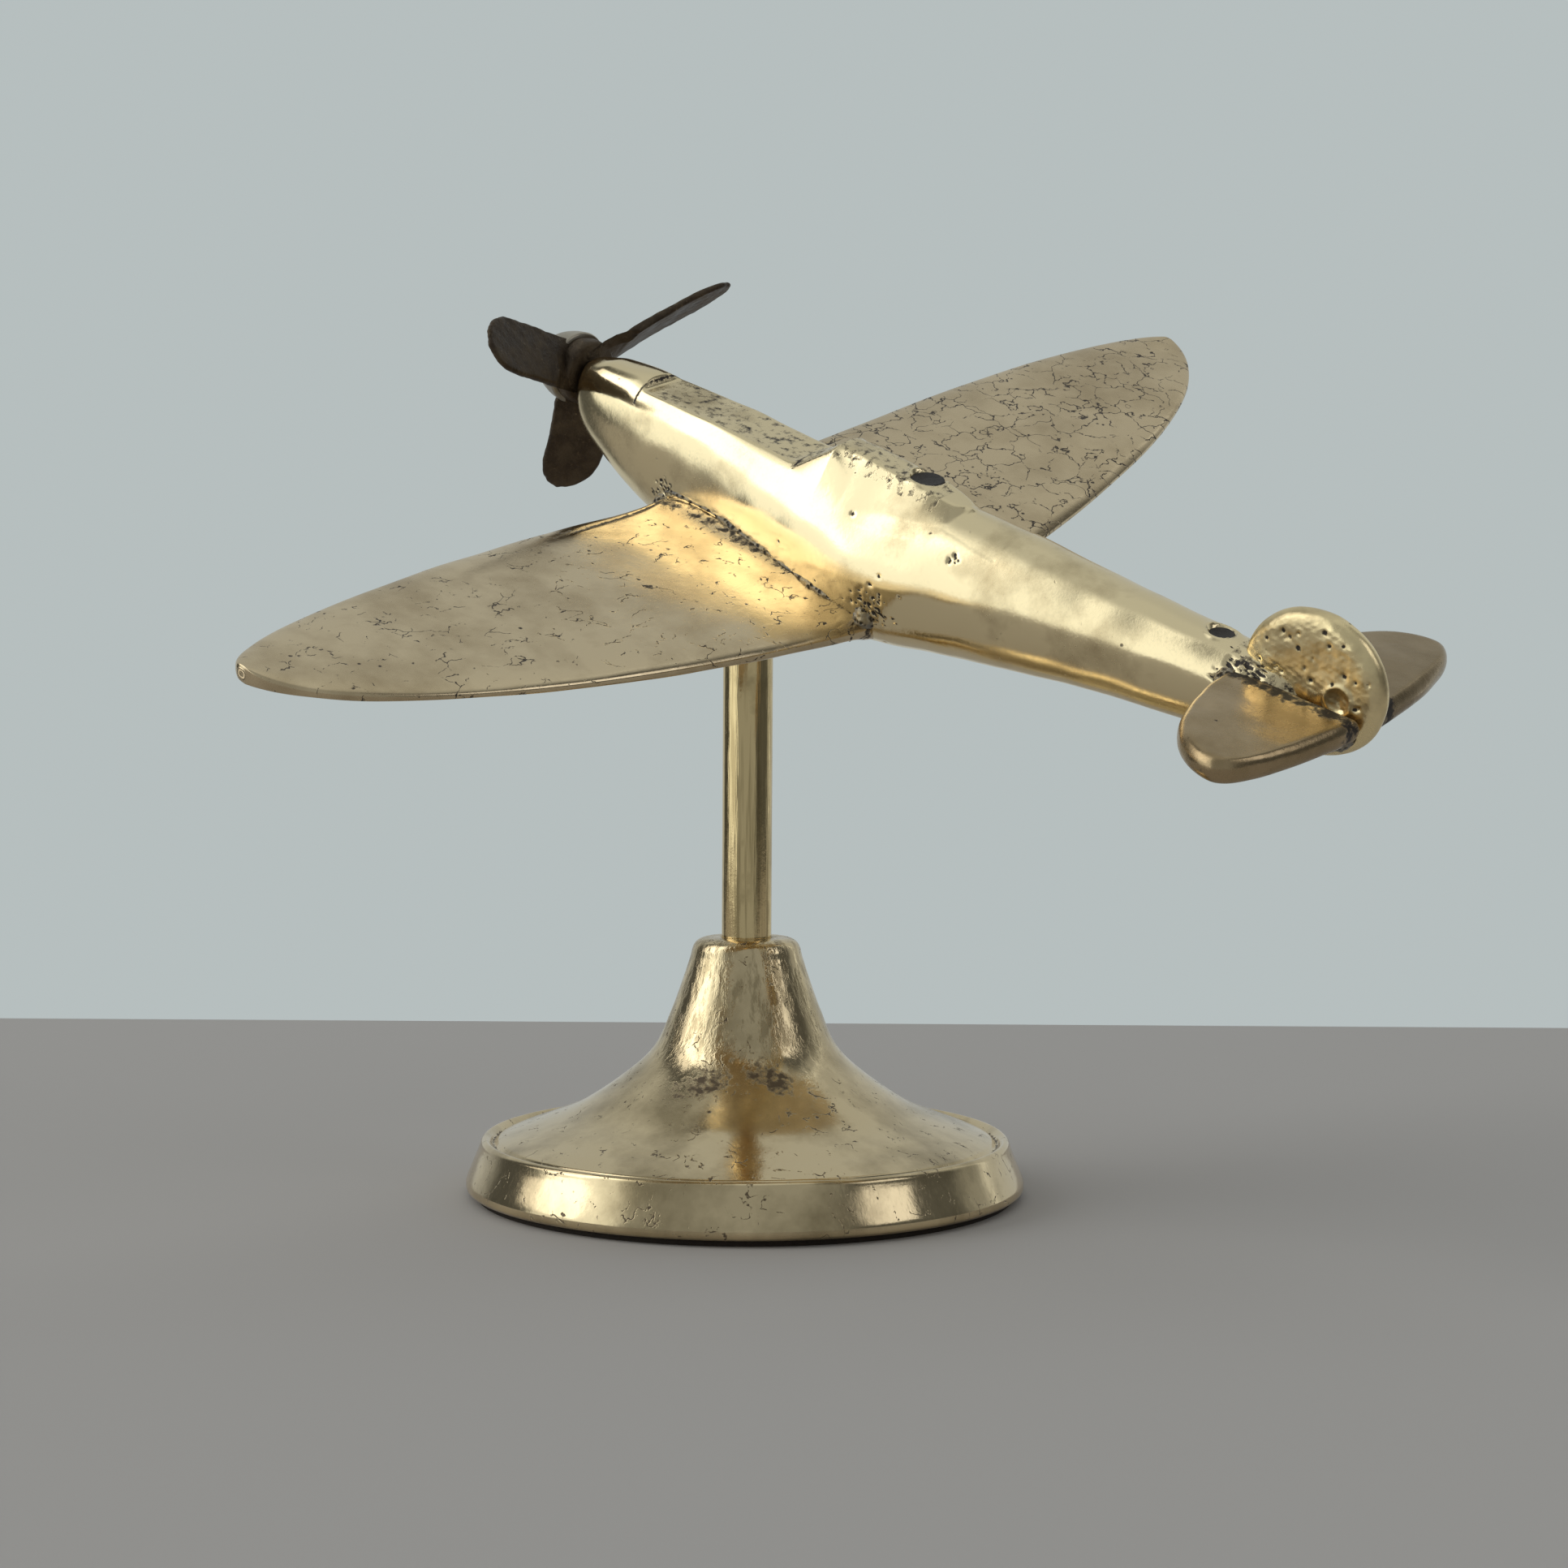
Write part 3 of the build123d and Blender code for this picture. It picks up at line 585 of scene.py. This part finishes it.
solder_material = rough_solder("wing_solder")
run_radius = 0.34
for side, name in sides:
    lumps = [lump((12.2, side * 6.7, 2.0), 1.9, 40 + side), lump((-34.0, side * 10.0, 0.6), 1.9, 50 + side)]
    # Each run lies where the wing's skin meets the fuselage's: y is found by turns from the one's
    # height and the other's width.
    for over in (1, -1):
        x = np.linspace(12.0, -33.0 if over > 0 else -30.0, 260)
        half, low, high, _ = fuselage_at(x)
        y = 0.9 * half
        for _ in range(6):
            z = wing_surface(side, x, y, over)
            share = np.clip(np.abs(z - (high + low) / 2) / ((high - low) / 2), 0, 0.97)
            y = half * (1 - share**lower_power) ** (1 / lower_power)
        path = np.stack([x, side * (y - 0.05), z + over * root_fillet(y)], axis=1)
        run = tube(path, run_radius)
        rough = 0.20 * wander(run, 5.0, 60 + over) + 0.10 * wander(run, 1.3, 65 + side)
        rough = rough + 0.05 * wander(run, 0.6, 70)
        lumps.append(run + (run - path[:, None]) / run_radius * rough[:, :, None])
    pieces = [skin("solder", in_flight(shape)) for shape in lumps]
    dress(joined("wing_solder_run_" + name, pieces), solder_material, "airframe", "wing_solder_" + name)


# ---- Tailplane ----
# Two thick D-shaped plates, let into the tail's sides at their straight edges, with their whole
# edge rounded over and polished.

def plate(outline, half_thickness, edge, dome=0.0, flat_rings=36, edge_rings=14):
    """Rings over a flat plate, from the middle of one face, round the edge, to the middle of the
    other. The outline is drawn in by edge for the faces, and a half circle of that reach joins
    them. Returns (across, along, thick) points."""
    middle = outline.mean(axis=0)
    away = outline - middle
    distance = np.linalg.norm(away, axis=1, keepdims=True)
    ways = away / distance
    inner = distance - edge
    share = np.linspace(0.02, 1, flat_rings)[:-1]
    bend = np.linspace(0, np.pi, edge_rings)
    face = [(share_here * inner, half_thickness + dome * (1 - share_here**2)) for share_here in share]
    rims = [(inner + edge * np.sin(b), half_thickness * np.cos(b)) for b in bend]
    stack = face + rims + [(reach_here, -z) for reach_here, z in face[::-1]]
    return np.stack([np.hstack([middle + ways * reach_here, np.full((len(outline), 1), z)])
                     for reach_here, z in stack])


def even_outline(outline, count):
    """The closed outline again at evenly spaced points, with its corners rounded over three of
    them."""
    closed = np.vstack([outline, outline[:1]])
    travel = np.concatenate([[0], np.cumsum(np.linalg.norm(np.diff(closed, axis=0), axis=1))])
    steps = np.linspace(0, travel[-1], count, endpoint=False)
    even = np.stack([np.interp(steps, travel, closed[:, axis]) for axis in (0, 1)], axis=1)
    for _ in range(3):
        even = (np.roll(even, 1, axis=0) + 2 * even + np.roll(even, -1, axis=0)) / 4
    return even


tail_x, tail_z, tail_root, tail_half_span = -108.2, 11.6, 2.4, 27.6
tail_chord_ahead, tail_chord_behind, tail_power = 14.5, 6.8, 2.15
for side, name in sides:
    sweep = np.linspace(0, np.pi, 150)
    t = np.clip(np.sin(sweep), 0, 1)
    chord = np.where(sweep < np.pi / 2, tail_chord_ahead, tail_chord_behind)
    chord = chord * np.sqrt(np.clip(1 - t**tail_power, 0, 1))
    edge_x = tail_x + np.where(sweep < np.pi / 2, chord, -chord)
    edge_y = np.maximum(tail_half_span * t, tail_root)
    curve = np.stack([edge_x, edge_y], axis=1)
    root = np.stack([np.linspace(curve[-1, 0], curve[0, 0], 42), np.full(42, tail_root)], axis=1)[1:-1]
    half = plate(even_outline(np.vstack([curve, root]), 260), 2.0, 1.7, dome=0.12)
    half = np.stack([half[:, :, 0], side * half[:, :, 1], tail_z + half[:, :, 2]], axis=2)
    out = outward(half)
    push = 0.05 * wander(half, 6, 80 + side) + 0.07 * wander(half, 15, 90 + side) - 0.1
    near_root = np.exp(-((np.abs(half[:, :, 1]) - 4.5) / 2.2) ** 2) * 0.75
    piece = skin("tailplane_half_" + name, in_flight(half + out * push[:, :, None]), dark=near_root)
    # The starboard half is a darker copy of the same brass, scaled by 0.72: a painted shade.
    shade = 1.0 if side == 1 else 0.72
    bright, dull = [shade * c for c in (0.56, 0.42, 0.25)], [shade * c for c in (0.36, 0.26, 0.14)]
    tail_brass = brass("tail_brass_" + name, bright=bright, dull=dull, dull_share=0.6, specks=0.6, grain=0.3,
                       mark="dark")
    dress(piece, tail_brass, "airframe", "tailplane_" + name)


# ---- Fin and rudder ----
# One thick oval disc of cast brass, set on edge in the end of the tail and soldered there. Its faces
# are left rough from the mould, and its rim is polished.

fin_x, fin_z, fin_length, fin_height = -105.5, 14.6, 11.2, 10.3
turn = np.linspace(0, 2 * np.pi, 320, endpoint=False)
# From the middle of one face, over the rim, to the middle of the other: the thickness falls as the
# square root of 1 less the ninth power of the distance out.
over_rim = np.linspace(0.02, np.pi - 0.02, 170)[:, None]
out_share = np.sin(over_rim)
half_thick = np.sign(np.cos(over_rim)) * 2.2 * np.sqrt(1 - out_share**9)
disc = np.stack([fin_x + fin_length * out_share * np.cos(turn), half_thick + 0 * turn,
                 fin_z + fin_height * out_share * np.sin(turn)], axis=2)
face_share = step_up(0.93 - out_share, 0.03)
rough = 0.14 * wander(disc, 4.6, 101) + 0.06 * wander(disc, 2.0, 102) + 0.02 * wander(disc, 1.0, 103)
rng = np.random.default_rng(9)
dimples = np.stack([rng.uniform(-115, -96, 70), rng.choice([-2.0, 2.0], 70), rng.uniform(6, 23, 70)], axis=1)
depth, dark = pits(disc, dimples, rng.uniform(0.18, 0.5, 70), rng.uniform(0.08, 0.25, 70))
# One larger crater, with a raised lip, lies behind the middle of the face.
crater = np.hypot(disc[:, :, 0] + 110.5, disc[:, :, 2] - 14.2)
push = face_share * (0.8 * rough - depth + 0.25 * np.exp(-(((crater - 2.0) / 0.5) ** 2)))
push = push - 0.25 * np.exp(-((crater / 1.3) ** 2)) * face_share + 0.04 * wander(disc, 5, 104) - 0.05
disc = disc + outward(disc) * push[:, :, None]
fin = skin("fin_disc", in_flight(disc), dark=dark * face_share)
fin_brass = brass("fin_brass", bright=(0.96, 0.78, 0.44), dull_share=0.2, specks=0.6, grain=0.45, smooth=0.20,
                  rough=0.38, mark="dark")
dress(fin, fin_brass, "airframe", "fin_rudder")


# ---- Tail solder ----
# Grey solder that fills the corners where the tailplane and the fin meet the tail. It was run in hot
# and left as it set, dull and pitted.

places = [((-94.4, side * 4.2, 11.8), 1.9) for side in (1, -1)]
places += [((-111.6, side * 2.3, 9.6), 2.3) for side in (1, -1)]
pieces = [skin("solder", in_flight(lump(place, radius, 110 + number)))
          for number, (place, radius) in enumerate(places)]
dress(joined("tail_solder_lumps", pieces), rough_solder("tail_solder", base=(0.42, 0.34, 0.22)), "airframe",
      "tail_solder")


# ---- Spine plugs ----
# Two short plugs of dark iron, driven into holes in the spine until their faces lie a little below
# the skin.

def stub(x, y, z, radius):
    """Rings of a short upright plug with a rounded rim and a slightly hollow face."""
    profile = np.array([(0.1, -0.25), (0.5, -0.22), (0.85, -0.05), (0.95, 0.0), (1.0, -0.12), (1.0, -2.5),
                        (0.5, -2.6)])
    return turned(profile * [radius, 1], 64) + [x, y, z]


plug_play = 0.05
for name, top_z in (("front", 20.15), ("rear", 15.65)):
    hole_x, hole_y, radius = plug_holes[name]
    piece = skin("spine_plug_face_" + name, in_flight(stub(hole_x, hole_y, top_z, radius - plug_play)))
    plug_iron = plain_dark("plug_iron_" + name, (0.030, 0.024, 0.020), 0.55)
    dress(piece, plug_iron, "airframe", "spine_plug_" + name)


# ---- Propeller ----
# Cast in one piece with its boss, never polished, and gone dark brown. The blades are flat
# paddles with ragged edges, a little bent, and the lower one is broken short.

thrust_z, boss_back, boss_front = 14.8, 37.2, 40.2
# Each blade: its angle from port towards the top, its length, how far its tip is bent forward, and
# its pitch out of the disc in degrees.
blades = {"left": (26.5, 25.4, -1.9, 39), "lower": (-90.0, 22.0, 4.5, 39), "right": (159.0, 29.0, -5.8, 44)}
# Half of a blade's outline: share of its length, and half its chord.
half_line = [(0.0, 4.4), (0.25, 4.6), (0.5, 4.8), (0.75, 4.8), (0.9, 3.9), (0.985, 1.7)]
blade_line = [(share, -half_chord) for share, half_chord in half_line] + [(1.0, 0.0)] + half_line[::-1]
# The back corners of the blades' roots are filed away, so that they clear the nose as they turn.
nose_reach, nose_x = [5.6, 7.5, 9.7, 12.4], [37.2, 36.7, 35.0, 31.0]
fan = []
for number, (angle, length, bend, pitch) in enumerate(blades.values()):
    edge_line = through(blade_line, 14) * [length, 1]
    ragged = 0.16 * wander(np.hstack([edge_line, 0 * edge_line[:, :1]]), 3.0, 120 + number)
    ragged += 0.10 * wander(np.hstack([edge_line, 0 * edge_line[:, :1]]), 1.0, 130 + number)
    edge_line = edge_line * (1 + 0.02 * ragged[:, None]) + ragged[:, None] * 0.4
    flat = plate(edge_line, 0.66, 0.55, flat_rings=30, edge_rings=9)
    out_along, chordwise, thick = flat[:, :, 0], flat[:, :, 1], flat[:, :, 2]
    share = np.clip(out_along / length, 0, 1)
    thick = thick * (1.25 - 0.55 * share)
    pitch, angle = np.radians(pitch), np.radians(angle)
    axial = np.sin(pitch) * chordwise + np.cos(pitch) * thick + bend * share**2
    sideways = np.cos(pitch) * chordwise - np.sin(pitch) * thick
    shape = np.stack([(boss_back + boss_front) / 2 + axial,
                      out_along * np.cos(angle) - sideways * np.sin(angle),
                      thrust_z + out_along * np.sin(angle) + sideways * np.cos(angle)], axis=2)
    shape = shape + outward(shape) * (0.05 * wander(shape, 2.0, 140 + number))[:, :, None]
    from_axis = np.hypot(shape[:, :, 1], shape[:, :, 2] - thrust_z)
    shape[:, :, 0] = np.maximum(shape[:, :, 0], np.interp(from_axis, nose_reach, nose_x))
    fan.append(skin("blade", in_flight(shape)))


def on_thrust_line(profile, around=96):
    """Rings of a turned piece from a profile of (radius, x) pairs round the propeller's axis."""
    return turned(profile, around)[:, :, [2, 0, 1]] + [0, 0, thrust_z]


bore = 1.26
boss = on_thrust_line([(bore, boss_back), (2.0, boss_back), (4.9, boss_back), (5.3, 37.5), (5.4, 38.2),
                       (5.4, 39.4), (5.3, 40.0), (5.0, boss_front), (2.0, boss_front), (bore, boss_front)])
boss = boss + outward(boss) * (0.06 * wander(boss, 2.4, 150))[:, :, None]
fan.append(skin("boss", in_flight(boss), closed_loop=True))


def dark_bronze(name):
    """Dark brown tarnished metal with a cast skin, flecked lighter in small scattered patches."""
    material, tree, place, shader = new_material(name)
    coarse = add(tree, "TexNoise", {"Vector": place, "Scale": 260, "Detail": 6, "Roughness": 0.65})
    fine = add(tree, "TexNoise", {"Vector": place, "Scale": 1400, "Detail": 4, "Roughness": 0.7})
    coarse, fine = coarse.outputs["Fac"], fine.outputs["Fac"]
    colour = blend_colours(tree, ramp(tree, coarse, 0.40, 0.66), (0.060, 0.042, 0.028), (0.130, 0.095, 0.060))
    colour = blend_colours(tree, ramp(tree, fine, 0.62, 0.74), colour, (0.24, 0.18, 0.11))
    relief = calc(tree, "ADD", coarse, calc(tree, "MULTIPLY", fine, 0.4))
    bump = add(tree, "Bump", {"Height": relief, "Strength": 0.6, "Distance": 0.0006})
    tree.links.new(colour, shader.inputs["Base Color"])
    tree.links.new(ramp(tree, coarse, 0.35, 0.65, 0.38, 0.58), shader.inputs["Roughness"])
    shader.inputs["Metallic"].default_value = 0.75
    tree.links.new(bump.outputs[0], shader.inputs["Normal"])
    return material


dress(joined("propeller_fan", fan), dark_bronze("propeller_bronze"), "propeller", "propeller")


# ---- Spinner, pin and washer ----
# The spinner is a turned brass dome soldered over the pin's head, dulled to grey. The pin is steel,
# driven into the nose, and a thin washer of the propeller's own dark bronze lies behind the boss.

hollow = [(3.4, boss_front), (3.4, 44.2), (0.2, 44.2), (0.1, 44.3)]
dome = [(0.1, 48.15), (1.6, 47.95), (3.2, 46.9), (4.7, 45.0), (5.6, 42.8), (5.95, 41.0), (5.98, 40.5),
        (5.8, 40.22)]
rings = on_thrust_line(np.vstack([hollow, through(dome, 6)]))
spinner = skin("spinner_dome", in_flight(rings), closed_loop=True)
spinner_brass = brass("spinner_brass", bright=(0.52, 0.46, 0.36), dull=(0.36, 0.32, 0.26), dull_share=0.6,
                      smooth=0.28, rough=0.45, specks=0.6)
dress(spinner, spinner_brass, "propeller", "spinner")
finish_node("propeller_washer", dark_bronze("washer_bronze"))
pin_steel = brass("pin_steel", bright=(0.50, 0.49, 0.47), dull=(0.36, 0.35, 0.33), dull_share=0.5)
finish_node("propeller_pin", pin_steel)


# ---- Studio ----
# A plain pale table top in a room of plain grey walls, some brighter than others, with two large
# soft lamps. The polished brass shows the walls; the camera itself sees one plain pale wall.

def stage_plane(name, corners, colour):
    """Flat matt plane between four corners, which belongs to the studio."""
    mesh = bpy.data.meshes.new(name)
    mesh.from_pydata(corners, [], [(0, 1, 2, 3)])
    plane = bpy.data.objects.new(name, mesh)
    bpy.context.collection.objects.link(plane)
    material, tree, place, shader = new_material(name + "_paint")
    shader.inputs["Base Color"].default_value = (*colour, 1)
    shader.inputs["Roughness"].default_value = 0.9
    plane.data.materials.append(material)


# The table's far edge lies square to the camera.
to_camera, along_table = np.array([-0.637, 0.771, 0]), np.array([0.771, 0.637, 0])
table_far, table_near, table_half = -0.21, 0.3, 0.7
table_corners = ((table_far, -table_half), (table_far, table_half), (table_near, table_half),
                 (table_near, -table_half))
corners = [to_camera * out + along_table * beside for out, beside in table_corners]
stage_plane("floor", [tuple(corner) for corner in corners], (0.50, 0.47, 0.45))

bpy.context.scene.view_settings.view_transform = "Standard"
world = bpy.data.worlds.new("studio")
bpy.context.scene.world = world
world.use_nodes = True
tree = world.node_tree
tree.nodes.clear()
direction = add(tree, "TexCoord").outputs["Generated"]
split = add(tree, "SeparateXYZ", {0: direction})
bearing = calc(tree, "ARCTAN2", split.outputs[1], split.outputs[0])
bearing = ramp(tree, bearing, -np.pi, np.pi)
walls = add(tree, "ValToRGB", {"Fac": bearing})
# Bearings from -X, anticlockwise in degrees, and how bright the studio is there.
panels = [(0, 0.10), (50, 0.10), (58, 0.35), (69, 0.35), (73, 1.00), (77, 0.45), (84, 0.50), (172, 0.50),
          (183, 0.08), (211, 0.08), (216, 1.20), (254, 1.20), (260, 0.34), (348, 0.34), (357, 0.10)]
stops = walls.color_ramp.elements
for index, (degrees, bright) in enumerate(panels):
    stop = stops[index] if index < 2 else stops.new(degrees / 360)
    stop.position, stop.color = degrees / 360, (bright, bright, bright, 1)
room = blend_colours(tree, ramp(tree, split.outputs[2], 0.86, 0.96), walls.outputs[0], (0.55, 0.55, 0.55))
tinted = add(tree, "Mix", {"Factor": 1.0}, data_type="RGBA", blend_type="MULTIPLY")
tree.links.new(room, tinted.inputs[6])
tinted.inputs[7].default_value = (0.94, 1.0, 1.0, 1)
seen = add(tree, "LightPath").outputs["Is Camera Ray"]
sky = blend_colours(tree, seen, tinted.outputs[2], (0.47, 0.52, 0.52))
background = add(tree, "Background", {"Color": sky, "Strength": 1.0})
add(tree, "OutputWorld", {"Surface": background.outputs[0]})


def stand_at(thing, place, right, upward, back):
    """Put a lamp or a camera at a place, with its own three axes along three directions."""
    columns = np.stack([right, upward, back, place], axis=1)
    thing.matrix_world = mathutils.Matrix([*columns.tolist(), [0, 0, 0, 1]])


def soft_light(name, place, aim, width, height, power, colour):
    """Large flat lamp at a place, turned to face its aim."""
    light = bpy.data.lights.new(name, "AREA")
    light.shape = "RECTANGLE"
    light.size, light.size_y, light.energy, light.color = width, height, power, colour
    lamp = bpy.data.objects.new(name, light)
    bpy.context.collection.objects.link(lamp)
    place, aim = np.array(place), np.array(aim)
    back = (place - aim) / np.linalg.norm(place - aim)
    right = np.cross([0, 0, 1], back)
    right /= np.linalg.norm(right)
    stand_at(lamp, place, right, np.cross(back, right), back)


middle_of_model = (0, 0, 0.08)
soft_light("window", (1.0, 0.85, 0.95), middle_of_model, 1.0, 1.2, 4, (1.0, 1.0, 0.98))
soft_light("room", (-1.6, -0.4, 1.2), middle_of_model, 0.8, 1.2, 3, (0.95, 0.97, 1.0))

# The camera stands behind the port wing, a little above the table.
aim = np.array([-0.0045, -0.0037, 0.0654])
azimuth, elevation, distance, lean = np.radians(219.54), np.radians(2.55), 0.4522, np.radians(0.36)
back = np.array([np.sin(azimuth) * np.cos(elevation), -np.cos(azimuth) * np.cos(elevation),
                 np.sin(elevation)])
right = np.cross(-back, [0, 0, 1])
right /= np.linalg.norm(right)
upward = np.cross(back, right)
right, upward = (np.cos(lean) * right + np.sin(lean) * upward, np.cos(lean) * upward - np.sin(lean) * right)
camera_data = bpy.data.cameras.new("camera")
camera_data.lens = 65.2
camera_data.clip_start = 0.01
camera = bpy.data.objects.new("camera", camera_data)
bpy.context.collection.objects.link(camera)
stand_at(camera, aim + back * distance, right, upward, back)
bpy.context.scene.camera = camera
